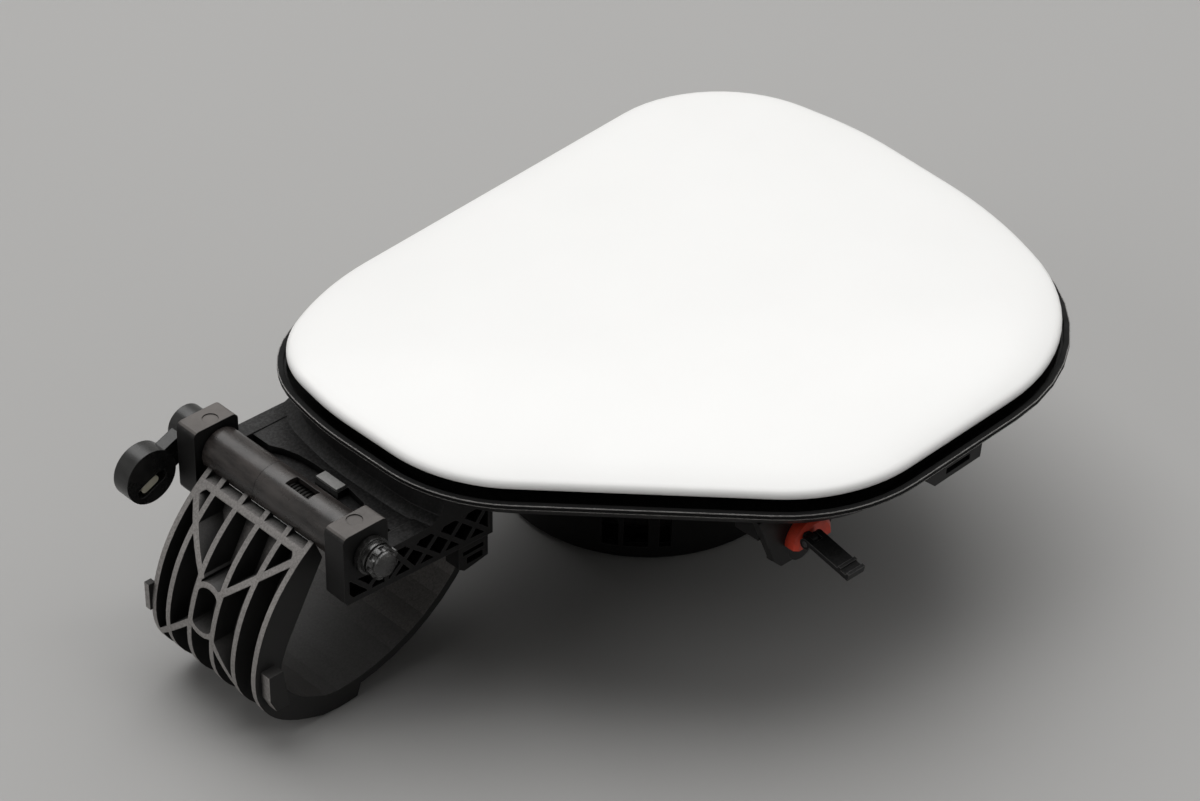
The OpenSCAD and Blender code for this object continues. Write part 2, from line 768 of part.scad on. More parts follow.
// Close-wound spring round the pin, drawn as touching turns of round wire.
module torsion_spring() {
  wire_r = 0.7;
  coil_r = spring_r - wire_r - 0.03;
  turns = 20;
  first = near_ear_y + 2.2;
  color([0.55, 0.55, 0.56]) translate([-hinge_back, first, hinge_z]) rotate([-90, 0, 0])
    rotate_extrude($fn = 36) {
      for (i = [0:turns - 1]) translate([coil_r, (2 * i + 1) * wire_r * 0.98])
        circle(wire_r, $fn = 16);
    }
}

// The pin, with a lobed head at its near end.
module hinge_pin() {
  head_from = near_ear_y - ear_t - collar_len;
  lobes_to = head_from - 2.9;
  color([0.20, 0.20, 0.21]) {
    hinge_rod(pin_r, head_from, far_ear_y + ear_t + 8);
    hinge_rod(4.4, head_from - 0.8, head_from);
    difference() {
      hinge_rod(5, lobes_to, head_from - 0.7);
      for (a = [0:45:315]) across(lobes_to - cut, head_from - 1.1)
        rotate(a) translate([5.5, 0]) circle(1.2, $fn = 16);
    }
    translate([-hinge_back, lobes_to + 0.1, hinge_z]) rotate([90, 0, 0]) rotate_extrude($fn = 48)
      polygon([[0, 0], [4.2, 0], [4, 0.7], [3.1, 1.4], [1.6, 1.8], [0, 1.9]]);
  }
}

module pin_collar() {
  collar_y = near_ear_y - ear_t;
  color([0.15, 0.15, 0.16]) {
    hinge_rod(5.7, collar_y - 2.2, collar_y - 0.2, pin_r);
    hinge_rod(5.1, collar_y - collar_len, collar_y - 2.2, pin_r);
  }
}

module pin_clip() {
  clip_y = far_ear_y + ear_t + 8;
  color([0.5, 0.5, 0.5]) translate([-hinge_back, clip_y, hinge_z]) rotate([-90, 0, 0])
    rotate_extrude($fn = 32) polygon([[0, 0], [4, 0], [4, 0.8], [2.4, 1.5], [0, 1.5]]);
}

// Drive lever on the pin's far end: a hub, an arm and a thick boss with a slot.
module hinge_lever() {
  color([0.10, 0.10, 0.11]) difference() {
    union() {
      hinge_rod(6.3, far_ear_y + ear_t + 0.3, lever_to);
      across(lever_from + 0.6, lever_to - 1.6) bar([0, 0], boss_at, 8.4);
      across(lever_from, lever_to) translate(boss_at) circle(8.7);
    }
    hinge_rod(pin_r, far_ear_y, lever_to + cut);
    across(lever_from - cut, lever_from + 3.4) translate(slot_at) rotate(slot_turn)
      translate([-5.4, -1.9]) soft_rect([10.8, 3.8], 1.8);
  }
}

// Pale rod end that lies in the boss's slot.
module lever_rod() {
  color([0.80, 0.77, 0.66]) across(lever_from + 0.5, lever_from + 3.4)
    translate(slot_at) rotate(slot_turn) translate([-3.6, -1.3]) soft_rect([6.4, 2.6], 1.2);
}

// Steel dowel in the arm's far side, close under the barrel.
module dowel_pin() {
  half = arm_w / 2;
  color([0.70, 0.70, 0.70]) across(half - 6, half + 1.4) translate([-7.4, -7.6])
    circle(1.5, $fn = 24);
}

// The carrier under the skin: a plate with a ring along its edge.
module door_inner() {
  color([0.09, 0.09, 0.10]) difference() {
    union() {
      translate([0, 0, inner_under]) linear_extrude(inner_t) outline(-inner_inset);
      translate([0, 0, inner_under - ring_drop]) linear_extrude(ring_drop + 0.1) difference() {
        outline(-9);
        outline(-11);
        circle(seal_room_r, $fn = 96);
      }
    }
    for (x = screw_xs, y = screw_ys) translate([x - hinge_back, y, inner_under - cut])
      cylinder(h = cut + 1.6, r = 1.4, $fn = 24);
  }
}

// The painted skin's form: a crowned lid with a rolled edge and a slight draft.
module skin_form(inset, drop, edge_z) {
  top = skin_z + skin_edge_h - drop;
  hull() {
    slice(-0.5 - inset, edge_z);
    slice(-inset, edge_z + 0.8);
    slice(-0.08 - inset, top - 1.8);
    slice(-0.5 - inset, top - 0.8);
    slice(-1.5 - inset, top - 0.1);
    slice(-3.6 - inset, top + 0.3);
    for (s = crown_steps) crown_slice(s[0], top + crown_h * s[1]);
  }
}

module door_skin() {
  color([0.95, 0.95, 0.95]) difference() {
    skin_form(0, 0, skin_z);
    translate([0, 0, skin_z - cut]) linear_extrude(cut + 1) outline(-inner_inset + 0.1);
    hull() {
      slice(-7.4, inner_top);
      slice(-7.8, skin_z + skin_edge_h - skin_t);
      for (s = crown_steps)
        crown_slice(s[0] - 0.02, skin_z + skin_edge_h - skin_t + crown_h * s[1]);
    }
  }
}

module arm_screws() {
  head_z = hinge_z + pad_z;
  color([0.35, 0.35, 0.36]) for (x = screw_xs, y = screw_ys)
    translate([x - hinge_back, y, head_z]) {
      translate([0, 0, -1.8]) cylinder(h = 1.8, r = 3, $fn = 6);
      translate([0, 0, -0.1]) cylinder(h = pad_t + 1.6, r = 1.4, $fn = 24);
    }
}

// Striker plate with an eye for the locking pin.
module striker() {
  striker_t = 2.4;
  face_y = striker_y - striker_t / 2;
  color([0.45, 0.45, 0.46]) difference() {
    union() {
      translate([lock_x - 4.5, face_y, lock_z]) cube([9, striker_t, inner_under - lock_z]);
      lock_rod(4.5, face_y, face_y + striker_t);
    }
    lock_rod(lock_r + 0.6, face_y - cut, face_y + striker_t + cut);
  }
}

housing();
rim_seal();
pocket_seal();
inlet_gasket();
near_bush();
far_bush();
stop_pad();
hinge_side_clip();
edge_clip();
rubber_buffers();
latch_body();
latch_collar();
latch_screws();
tab_pivot();
release_tab();
lock_pin();
gooseneck_arm();
barrel_sleeve();
torsion_spring();
hinge_pin();
pin_collar();
pin_clip();
hinge_lever();
lever_rod();
dowel_pin();
door_inner();
door_skin();
arm_screws();
striker();
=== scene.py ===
"""A charging port door: the looks of its painted lid, gooseneck hinge and housing."""
import json
import math

import bpy
from mathutils import Matrix, Vector


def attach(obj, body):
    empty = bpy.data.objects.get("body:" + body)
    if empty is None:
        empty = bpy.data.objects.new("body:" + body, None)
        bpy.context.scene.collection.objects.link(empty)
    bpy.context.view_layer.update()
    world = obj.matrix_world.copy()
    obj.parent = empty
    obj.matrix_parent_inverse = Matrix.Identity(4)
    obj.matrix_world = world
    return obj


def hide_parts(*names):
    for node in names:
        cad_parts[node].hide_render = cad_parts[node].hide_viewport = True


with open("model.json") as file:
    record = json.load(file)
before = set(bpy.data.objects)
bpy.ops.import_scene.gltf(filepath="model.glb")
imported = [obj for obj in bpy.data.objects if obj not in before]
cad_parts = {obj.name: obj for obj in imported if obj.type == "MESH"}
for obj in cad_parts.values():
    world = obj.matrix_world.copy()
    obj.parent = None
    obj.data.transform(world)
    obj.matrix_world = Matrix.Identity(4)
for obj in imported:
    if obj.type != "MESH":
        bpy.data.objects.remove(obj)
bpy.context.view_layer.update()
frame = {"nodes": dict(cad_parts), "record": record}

NODES = frame["nodes"]
MM = 0.001

# The view: where the camera stands, and which way it looks.
CAMERA_AT = Vector((-0.6394, -0.6416, 0.6836))
CAMERA_AZIMUTH = -44.0
CAMERA_ELEVATION = 36.0
CAMERA_ROLL = 1.0
CAMERA_LENS = 108.0
CAMERA_SENSOR = 36.0
CAMERA_NEAR = 0.05
CAMERA_FAR = 30.0

# The hinge axis, and the door outline's corners with their rounding radii, in millimetres.
HINGE_X = -145.0
HINGE_Z = 66.0
DOOR_CORNERS = (
    (-85.5, 51, 93), (88, 65.5, 43), (97.5, 3.5, 119.5), (93, -56.5, 149), (68.5, -122.5, 68.5),
    (-44, -127, 50.5), (-123.5, -44.5, 50), (-124, 2.5, 101), (-118.5, 35, 34.5),
)
DOOR_MIDDLE = Vector((-10, -32))
CORNER_STEPS = 14

# Meshes: the angle of an edge that stays sharp, and the gap that is welded, in metres.
SHARP_ANGLE = 60
WELD_GAP = 1e-6

# Where one look passes into another, in millimetres.
BARREL_R = 6.9
RIM_Z = 76.4
EARS_END_X = -136.5
EAR_TOP_BAND = (73.8, 74.6)
NUB_Z = 56.0
SLEEVE_END_Y = 3.0
SEAM_WIDTH = 0.35

# Tones that more than one look takes, or that belong to one place.
# The first tone below is near black, painted as shade into pockets and corners.
POCKET_SHADE = (0.002, 0.002, 0.002)
BARREL_TONES = ((0.013, 0.011, 0.0105), (0.048, 0.041, 0.038))
LEVER_TONES = ((0.006, 0.006, 0.006), (0.018, 0.0175, 0.017))
# ARM_TONES runs from painted pocket shade to the arm's own black.
ARM_TONES = (POCKET_SHADE, (0.009, 0.0085, 0.0085))
# RIB_TONES are the pale rib faces, part dust and part painted highlight.
RIB_TONES = ((0.20, 0.188, 0.18), (0.37, 0.35, 0.335))
EAR_TOP_TONE = (0.155, 0.142, 0.133)
SEAM_TONE = (0.001, 0.001, 0.001)

# The part of a noise's range that is used, and the turns of a normal that make an edge, as cosines.
NOISE_BODY = (0.3, 0.7)
STREAK_BODY = (0.35, 0.7)
EDGE_TURN = (0.82, 0.985)
OUTWARD_TURN = (0.05, 0.3)
BEVEL_SAMPLES = 4
OPENNESS_SAMPLES = 6


def place_camera():
    """Stands the camera where it sees the door as the photograph does."""
    a = math.radians(CAMERA_AZIMUTH)
    e = math.radians(CAMERA_ELEVATION)
    r = math.radians(CAMERA_ROLL)
    back = Vector((math.sin(a) * math.cos(e), -math.cos(a) * math.cos(e), math.sin(e)))
    level = (-back).cross(Vector((0, 0, 1))).normalized()
    upright = level.cross(-back)
    right = level * math.cos(r) + upright * math.sin(r)
    up = upright * math.cos(r) - level * math.sin(r)
    data = bpy.data.cameras.new("camera")
    data.lens = CAMERA_LENS
    data.sensor_width = CAMERA_SENSOR
    data.clip_start = CAMERA_NEAR
    data.clip_end = CAMERA_FAR
    camera = bpy.data.objects.new("camera", data)
    camera.matrix_world = Matrix((right, up, back)).transposed().to_4x4()
    camera.location = CAMERA_AT
    bpy.context.scene.collection.objects.link(camera)
    bpy.context.scene.camera = camera


def clear_selection():
    """Leaves edit mode with nothing selected."""
    if bpy.context.mode != "OBJECT":
        bpy.ops.object.mode_set(mode="OBJECT")
    bpy.ops.object.select_all(action="DESELECT")


def pick(piece):
    """Makes a piece the active one, and the only one selected."""
    clear_selection()
    piece.select_set(True)
    bpy.context.view_layer.objects.active = piece


def named(name):
    """Gives the newest object its name."""
    piece = bpy.context.active_object
    piece.name = name
    piece.data.name = name
    return piece


def settle(piece):
    """Moves a piece's place, turn and scale into its mesh."""
    pick(piece)
    bpy.ops.object.transform_apply(location=True, rotation=True, scale=True)


def apply_all(piece):
    """Applies a piece's modifiers from the first to the last."""
    pick(piece)
    for modifier in list(piece.modifiers):
        bpy.ops.object.modifier_apply(modifier=modifier.name)


def smooth(piece):
    """Shades a piece smooth, apart from its sharp edges."""
    pick(piece)
    bpy.ops.object.shade_smooth_by_angle(angle=math.radians(SHARP_ANGLE))


def outward(piece):
    """Turns all of a piece's faces outwards."""
    pick(piece)
    bpy.ops.object.mode_set(mode="EDIT")
    bpy.ops.mesh.select_all(action="SELECT")
    bpy.ops.mesh.remove_doubles(threshold=WELD_GAP)
    bpy.ops.mesh.normals_make_consistent(inside=False)
    bpy.ops.object.mode_set(mode="OBJECT")


def close_ends(piece):
    """Fills each open edge loop of a piece."""
    pick(piece)
    bpy.ops.object.mode_set(mode="EDIT")
    bpy.ops.mesh.select_mode(type="EDGE")
    bpy.ops.mesh.select_all(action="DESELECT")
    bpy.ops.mesh.select_non_manifold(extend=False)
    bpy.ops.mesh.edge_face_add()
    bpy.ops.object.mode_set(mode="OBJECT")


class Finish:
    """One procedural material: a Principled shader with the nodes that feed it."""

    def __init__(self, name, roughness=0.5, metallic=0.0, specular=0.5,
                 coat=0.0, coat_roughness=0.1):
        self.material = bpy.data.materials.new(name)
        self.material.use_nodes = True
        self.tree = self.material.node_tree
        self.nodes = self.tree.nodes
        self.shader = self.nodes["Principled BSDF"]
        self.set("Roughness", roughness)
        self.set("Metallic", metallic)
        self.set("Specular IOR Level", specular)
        self.set("Coat Weight", coat)
        self.set("Coat Roughness", coat_roughness)
        self.place = self.nodes.new("ShaderNodeTexCoord").outputs["Object"]

    def set(self, socket, value):
        """Sets a plain value on the shader's own socket."""
        self.shader.inputs[socket].default_value = value

    def link(self, out, socket):
        """Links an output to a socket."""
        self.tree.links.new(out, socket)

    def feed(self, out, socket):
        """Links an output to one of the shader's sockets."""
        self.link(out, self.shader.inputs[socket])

    def fill(self, sockets, values):
        """Links outputs to a node's sockets, and sets plain values on them."""
        for socket, value in zip(sockets, values):
            if isinstance(value, (int, float, tuple)):
                socket.default_value = value
            elif value is not None:
                self.link(value, socket)

    def noise(self, size_mm, detail=3.0, rough=0.55, stretch=None):
        """Soft noise whose grain is about size_mm across."""
        place = self.place
        if stretch:
            mapping = self.nodes.new("ShaderNodeMapping")
            mapping.inputs["Scale"].default_value = stretch
            self.link(self.place, mapping.inputs["Vector"])
            place = mapping.outputs["Vector"]
        node = self.nodes.new("ShaderNodeTexNoise")
        node.inputs["Scale"].default_value = 1.0 / (size_mm * MM)
        node.inputs["Detail"].default_value = detail
        node.inputs["Roughness"].default_value = rough
        self.link(place, node.inputs["Vector"])
        return node.outputs["Fac"]

    def remap(self, value, low, high, to_low=0.0, to_high=1.0):
        """Maps a value from one range to another, clamped at both ends."""
        node = self.nodes.new("ShaderNodeMapRange")
        ends = [node.inputs[end] for end in ("From Min", "From Max", "To Min", "To Max")]
        self.fill(ends, (low, high, to_low, to_high))
        self.link(value, node.inputs["Value"])
        return node.outputs["Result"]

    def math(self, operation, a, b=None):
        """An arithmetic node, whose inputs are outputs or plain numbers."""
        node = self.nodes.new("ShaderNodeMath")
        node.operation = operation
        self.fill(node.inputs, (a, b))
        return node.outputs["Value"]

    def product(self, first, *others):
        """The product of masks and plain numbers."""
        for other in others:
            first = self.math("MULTIPLY", first, other)
        return first

    def vector_math(self, operation, a, b=None):
        """A vector operation, whose inputs are outputs or plain vectors."""
        node = self.nodes.new("ShaderNodeVectorMath")
        node.operation = operation
        self.fill(node.inputs, (a, b))
        return node.outputs["Value" if operation == "DOT_PRODUCT" else "Vector"]

    def mix(self, factor, a, b):
        """Mixes two colours, or the colours of two outputs."""
        node = self.nodes.new("ShaderNodeMix")
        node.data_type = "RGBA"
        self.link(factor, node.inputs["Factor"])
        colours = [(*c, 1.0) if isinstance(c, tuple) else c for c in (a, b)]
        self.fill((node.inputs[6], node.inputs[7]), colours)
        return node.outputs[2]

    def component(self, vector, axis):
        """One component of a vector, by its axis."""
        node = self.nodes.new("ShaderNodeSeparateXYZ")
        self.link(vector, node.inputs["Vector"])
        return node.outputs[axis]

    def facing(self, axis):
        """How far a face looks along one axis of the piece."""
        return self.component(self.nodes.new("ShaderNodeTexCoord").outputs["Normal"], axis)

    def along(self, axis):
        """A point's place along one axis of the piece, in millimetres."""
        return self.math("MULTIPLY", self.component(self.place, axis), 1 / MM)

    def from_axis(self):
        """Distance from the hinge axis, in millimetres."""
        across = self.math("SUBTRACT", self.along("X"), HINGE_X)
        up = self.math("SUBTRACT", self.along("Z"), HINGE_Z)
        squares = self.math("ADD", self.product(across, across), self.product(up, up))
        return self.math("SQRT", squares)

    def ear_tops(self):
        """1 on the tops of the hinge ears."""
        behind = self.remap(self.along("X"), EARS_END_X, EARS_END_X + 1, 1.0, 0.0)
        high = self.remap(self.along("Z"), *EAR_TOP_BAND)
        return self.product(behind, high, self.remap(self.facing("Z"), 0.5, 0.9))

    def openness(self, reach_mm, low, high):
        """1 on open faces, and 0 in pockets and corners."""
        node = self.nodes.new("ShaderNodeAmbientOcclusion")
        node.samples = OPENNESS_SAMPLES
        node.inputs["Distance"].default_value = reach_mm * MM
        return self.remap(node.outputs["AO"], low, high)

    def bevelled(self, radius_mm):
        """The normal, with sharp edges rounded to a radius."""
        node = self.nodes.new("ShaderNodeBevel")
        node.samples = BEVEL_SAMPLES
        node.inputs["Radius"].default_value = radius_mm * MM
        return node.outputs["Normal"]

    def edges(self, radius_mm, outer_only=False):
        """1 along sharp edges, within the radius, and 0 on plain faces."""
        rounded = self.bevelled(radius_mm)
        plain = self.nodes.new("ShaderNodeNewGeometry").outputs["Normal"]
        edge = self.remap(self.vector_math("DOT_PRODUCT", rounded, plain), *EDGE_TURN, 1.0, 0.0)
        return self.product(edge, self.looks_outward(rounded)) if outer_only else edge

    def looks_outward(self, normal):
        """1 where a normal points away from the middle of the rim."""
        middle = (DOOR_MIDDLE.x * MM, DOOR_MIDDLE.y * MM, RIM_Z * MM)
        away = self.vector_math("NORMALIZE", self.vector_math("SUBTRACT", self.place, middle))
        return self.remap(self.vector_math("DOT_PRODUCT", normal, away), *OUTWARD_TURN)

    def colour(self, factor, a, b):
        """Colours the surface with a mix of two tones."""
        self.feed(self.mix(factor, a, b), "Base Color")

    def patchy(self, noise, low, high):
        """Lets the roughness wander between two values with a noise."""
        self.feed(self.remap(noise, *NOISE_BODY, low, high), "Roughness")

    def relief(self, height, depth_mm, edge_mm=0.0):
        """Bump of a true depth, over edges that are rounded by edge_mm."""
        node = self.nodes.new("ShaderNodeBump")
        node.inputs["Strength"].default_value = 1.0
        node.inputs["Distance"].default_value = depth_mm * MM
        self.link(height, node.inputs["Height"])
        if edge_mm:
            self.link(self.bevelled(edge_mm), node.inputs["Normal"])
        self.feed(node.outputs["Normal"], "Normal")


# In the looks that follow, a noise takes the width of its grain in millimetres, openness takes
# its reach and the values that count as closed and open, and relief takes its depth and the
# rounding of the edges.


def moulded_plastic(name, open_tone, roughness, dust=0.5, edge_tone=0.05):
    """Black moulded plastic with a fine grain, rubbed edges, dust on what stands open and painted
    shade in pockets.
    """
    finish = Finish(name, specular=0.16)
    open_faces = finish.openness(9.0, 0.35, 0.95)
    smudges = finish.noise(14.0, detail=4.0)
    specks = finish.remap(finish.noise(0.9, detail=5.0, rough=0.7), 0.42, 0.72, 0.0, dust)
    settled = finish.remap(finish.facing("Z"), 0.1, 0.9, 0.05, 1.0)
    film = finish.product(specks, settled, open_faces)
    pale_tone = tuple(c * 2.0 + 0.03 for c in open_tone)
    # Painted shade: pockets and corners are mixed down to near black, open faces keep the plastic's
    # own tone, and the dust film lies over that.
    dust_and_shade = finish.mix(film, finish.mix(open_faces, POCKET_SHADE, open_tone), pale_tone)
    below_rim = finish.remap(finish.along("Z"), RIM_Z - 5, RIM_Z - 3, 1.0, 0.0)
    lightened = finish.product(finish.edges(0.35), open_faces, below_rim)
    warm_grey = (edge_tone, edge_tone * 0.97, edge_tone * 0.94)
    edged = finish.mix(lightened, dust_and_shade, warm_grey)
    # The tops of the hinge ears are painted a lighter grey, made patchy by the smudges.
    top_patches = finish.remap(smudges, 0.3, 0.65, 0.55, 1.0)
    finish.colour(finish.product(finish.ear_tops(), top_patches), edged, EAR_TOP_TONE)
    finish.patchy(smudges, roughness - 0.08, roughness + 0.08)
    grain = finish.math("ADD", finish.noise(0.28, detail=2.0), finish.product(smudges, 0.6))
    finish.relief(grain, 0.02, 0.4)
    return finish.material


def grease_streaks(finish):
    """Noise drawn out along the hinge axis."""
    return finish.noise(3.0, detail=5.0, rough=0.65, stretch=(1.0, 0.25, 1.0))


def greasy_plastic(name, tones):
    """Satin black plastic with wiped grease: streaks along the barrel that shine."""
    finish = Finish(name, specular=0.5)
    streaks = grease_streaks(finish)
    finish.colour(finish.remap(streaks, *STREAK_BODY), *tones)
    finish.patchy(finish.noise(9.0, detail=4.0), 0.2, 0.38)
    finish.relief(finish.math("ADD", finish.noise(0.35, detail=2.0), streaks), 0.015, 0.3)
    return finish.material


def rib_edges(finish):
    """1 on the arm's outward faces, and on upward ones beside the barrel."""
    rearward = finish.remap(finish.facing("X"), -0.85, -0.3, 1.0, 0.0)
    near_barrel = finish.remap(finish.along("Z"), NUB_Z, NUB_Z + 4, 0.12, 0.8)
    upward = finish.product(finish.remap(finish.facing("Z"), 0.25, 0.8), near_barrel)
    return finish.math("MAXIMUM", rearward, upward)


def lattice_plastic(name):
    """The arm's plastic: pale rib faces, part dust and part painted highlight, pockets painted near
    black as shade, and a satin barrel.
    """
    finish = Finish(name, specular=0.4)
    open_faces = finish.openness(6.0, 0.45, 0.9)
    off_barrel = finish.remap(finish.from_axis(), BARREL_R + 0.15, BARREL_R + 0.7)
    # Part dust and part painted highlight: open outward rib faces, and upward faces beside the
    # barrel, are painted a pale grey.
    lightened = finish.product(open_faces, rib_edges(finish), off_barrel)
    speckle = finish.remap(finish.noise(0.7, detail=4.0, rough=0.75), 0.35, 0.68)
    pale_tone = finish.mix(speckle, *RIB_TONES)
    # Painted shade: the arm's pockets are mixed down to near black.
    plastic_and_pocket_shade = finish.mix(open_faces, *ARM_TONES)
    barrel = finish.mix(finish.remap(grease_streaks(finish), *STREAK_BODY), *BARREL_TONES)
    seam = finish.remap(finish.along("Y"), SLEEVE_END_Y, SLEEVE_END_Y + SEAM_WIDTH, 1.0, 0.0)
    body = finish.mix(off_barrel, finish.mix(seam, barrel, SEAM_TONE), plastic_and_pocket_shade)
    finish.colour(lightened, body, pale_tone)
    finish.feed(finish.remap(off_barrel, 0.0, 1.0, 0.27, 0.56), "Roughness")
    finish.relief(finish.noise(0.3, detail=3.0), 0.022, 0.35)
    return finish.material


def skin_paint():
    """White gloss paint with a faint orange peel."""
    finish = Finish("skin_paint", roughness=0.32, specular=0.35, coat=0.12, coat_roughness=0.12)
    finish.colour(finish.noise(45.0, detail=2.0), (0.89, 0.885, 0.87), (0.93, 0.925, 0.91))
    finish.relief(finish.noise(1.6, detail=2.0), 0.006)
    return finish.material


def soft_rubber(name, colour, lit, top):
    """Matt rubber with a painted highlight along its outer edges, and a fainter one on upper faces.
    """
    finish = Finish(name, specular=0.12)
    # Painted highlight: open outer edges, and upper faces as far as top gives, are painted the lit
    # tone.
    lightened = finish.product(finish.edges(0.6, True), finish.openness(6.0, 0.4, 0.8))
    painted_highlight = finish.math("MAXIMUM", lightened, finish.remap(finish.facing("Z"), 0.2, 0.9, 0.0, top))
    patches = finish.remap(finish.noise(1.2, detail=4.0), *NOISE_BODY, 0.6, 1.0)
    finish.colour(finish.product(painted_highlight, patches), colour, lit)
    finish.patchy(finish.noise(6.0), 0.5, 0.7)
    finish.relief(finish.noise(0.25, detail=2.0), 0.015, 0.3)
    return finish.material


def red_silicone():
    """Satin red silicone, a little darker where it has picked up dirt."""
    finish = Finish("red_silicone", specular=0.4)
    dirt = finish.remap(finish.noise(4.0, detail=5.0, rough=0.65), 0.4, 0.7)
    finish.colour(dirt, (0.74, 0.06, 0.024), (0.52, 0.045, 0.022))
    finish.patchy(finish.noise(5.0), 0.4, 0.6)
    finish.relief(finish.noise(0.3, detail=2.0), 0.012, 0.4)
    return finish.material


def cream_plastic():
    """Self-coloured cream bearing plastic."""
    finish = Finish("cream_plastic", specular=0.45)
    tone = finish.noise(2.5, detail=4.0)
    finish.colour(tone, (0.62, 0.585, 0.46), (0.78, 0.74, 0.60))
    finish.patchy(tone, 0.38, 0.52)
    finish.relief(finish.noise(0.3, detail=2.0), 0.01, 0.2)
    return finish.material


def steel(name, dark, light, rough_low, rough_high):
    """Bare or phosphated steel with fine marks and a film of oil."""
    finish = Finish(name, metallic=1.0)
    marks = finish.noise(1.2, detail=5.0, rough=0.7)
    finish.colour(finish.remap(marks, *NOISE_BODY), dark, light)
    finish.patchy(finish.noise(2.2, detail=4.0), rough_low, rough_high)
    finish.relief(marks, 0.01, 0.2)
    return finish.material


def greased_head(name, depth_mm):
    """The pin's head: dark plastic under a thick, shiny smear of grease."""
    finish = Finish(name, specular=0.5, coat=0.55, coat_roughness=0.04)
    lumps = finish.noise(1.3, detail=4.0, rough=0.6)
    finish.colour(lumps, (0.003, 0.003, 0.003), (0.022, 0.021, 0.02))
    finish.patchy(lumps, 0.10, 0.34)
    finish.relief(lumps, depth_mm, 0.3)
    return finish.material


def finishes():
    """Every finish of the object, by the name of the material slot."""
    housing_open_tone = (0.014, 0.0135, 0.0135)
    oiled_wire = ((0.008, 0.008, 0.008), (0.024, 0.023, 0.022))
    # The second tone of each rubber is its painted highlight.
    black_rubber = ((0.005, 0.005, 0.005), (0.72, 0.70, 0.68))
    grey_rubber = ((0.22, 0.22, 0.215), (0.40, 0.395, 0.385))
    return {
        "moulded_black": moulded_plastic("housing_plastic", housing_open_tone, 0.42, dust=0.9),
        "arm_black": lattice_plastic("arm_plastic"),
        "seal_black": soft_rubber("seal_rubber", *black_rubber, top=0.0),
        "skin_white": skin_paint(),
        "bush_cream": cream_plastic(),
        "pad_grey": soft_rubber("pad_rubber", *grey_rubber, top=0.9),
        "collar_red": red_silicone(),
        "bright_steel": steel("bright_steel", (0.42, 0.42, 0.43), (0.68, 0.68, 0.69), 0.2, 0.38),
        "spring_steel": steel("spring_steel", *oiled_wire, 0.4, 0.55),
        "dark_steel": steel("dark_steel", (0.05, 0.05, 0.052), (0.16, 0.16, 0.165), 0.25, 0.5),
    }


def paint(node, material):
    """Gives one CAD node a finish."""
    mesh = NODES[node].data
    mesh.materials.clear()
    mesh.materials.append(material)


def paint_nodes(by_slot):
    """Gives each CAD node the finish of its slot, and a few nodes one of their own."""
    for row in frame["record"]["subparts"]:
        paint(row["node"], by_slot[row["material_slot"]])
    paint("hinge_pin", greased_head("greased_head", 0.35))
    paint("pin_collar", greased_head("greased_collar", 0.1))
    paint("barrel_sleeve", greasy_plastic("sleeve_plastic", BARREL_TONES))
    paint("hinge_lever", greasy_plastic("lever_plastic", LEVER_TONES))
    tab_open_tone, carrier_open_tone = (0.011, 0.011, 0.011), (0.008, 0.008, 0.008)
    paint("release_tab", moulded_plastic("tab_plastic", tab_open_tone, 0.4, edge_tone=0.16))
    paint("door_inner", moulded_plastic("carrier_plastic", carrier_open_tone, 0.5, dust=0.1))
    paint("tab_pivot", by_slot["dark_steel"])


def corner_arc(before, corner, after, radius, grow):
    """Points round one corner of the outline, grown outwards."""
    u = (before - corner).normalized()
    w = (after - corner).normalized()
    half = math.acos(max(-1.0, min(1.0, u.dot(w)))) / 2
    middle = corner + (u + w).normalized() * radius / math.sin(half)
    start = corner + u * radius / math.tan(half) - middle
    first = math.atan2(start.y, start.x)
    swing = math.pi - 2 * half
    turns = [first - swing * k / CORNER_STEPS for k in range(CORNER_STEPS + 1)]
    return [middle + (radius + grow) * Vector((math.cos(t), math.sin(t))) for t in turns]


def door_outline(grow=0.0):
    """The door's outline in millimetres, moved outwards by grow."""
    corners = [(Vector(c[:2]), c[2]) for c in DOOR_CORNERS]
    points = []
    for i, (corner, radius) in enumerate(corners):
        before = corners[i - 1][0]
        after = corners[(i + 1) % len(corners)][0]
        points += corner_arc(before, corner, after, radius, grow)
    return points


def lay_along(ring, points, z):
    """Lays a ring of vertices along the given points, at one height."""
    for vertex, point in zip(ring, points):
        vertex.co = (point.x * MM, point.y * MM, z * MM)


def next_ring(points, z):
    """Extrudes the selected ring and lays its new edge along the given points."""
    bpy.ops.mesh.extrude_edges_move()
    bpy.ops.object.mode_set(mode="OBJECT")
    vertices = bpy.context.active_object.data.vertices
    lay_along([v for v in vertices if v.select], points, z)
    bpy.ops.object.mode_set(mode="EDIT")


def loft(name, rings):
    """A closed shell through rings of (points, height), filled flat at both ends."""
    points, z = rings[0]
    clear_selection()
    bpy.ops.mesh.primitive_circle_add(vertices=len(points), fill_type="NGON")
    piece = named(name)
    lay_along(piece.data.vertices, points, z)
    pick(piece)
    bpy.ops.object.mode_set(mode="EDIT")
    bpy.ops.mesh.select_mode(type="EDGE")
    bpy.ops.mesh.select_all(action="SELECT")
    for points, z in rings[1:]:
        next_ring(points, z)
    bpy.ops.mesh.edge_face_add()
    bpy.ops.object.mode_set(mode="OBJECT")
    outward(piece)
    return piece


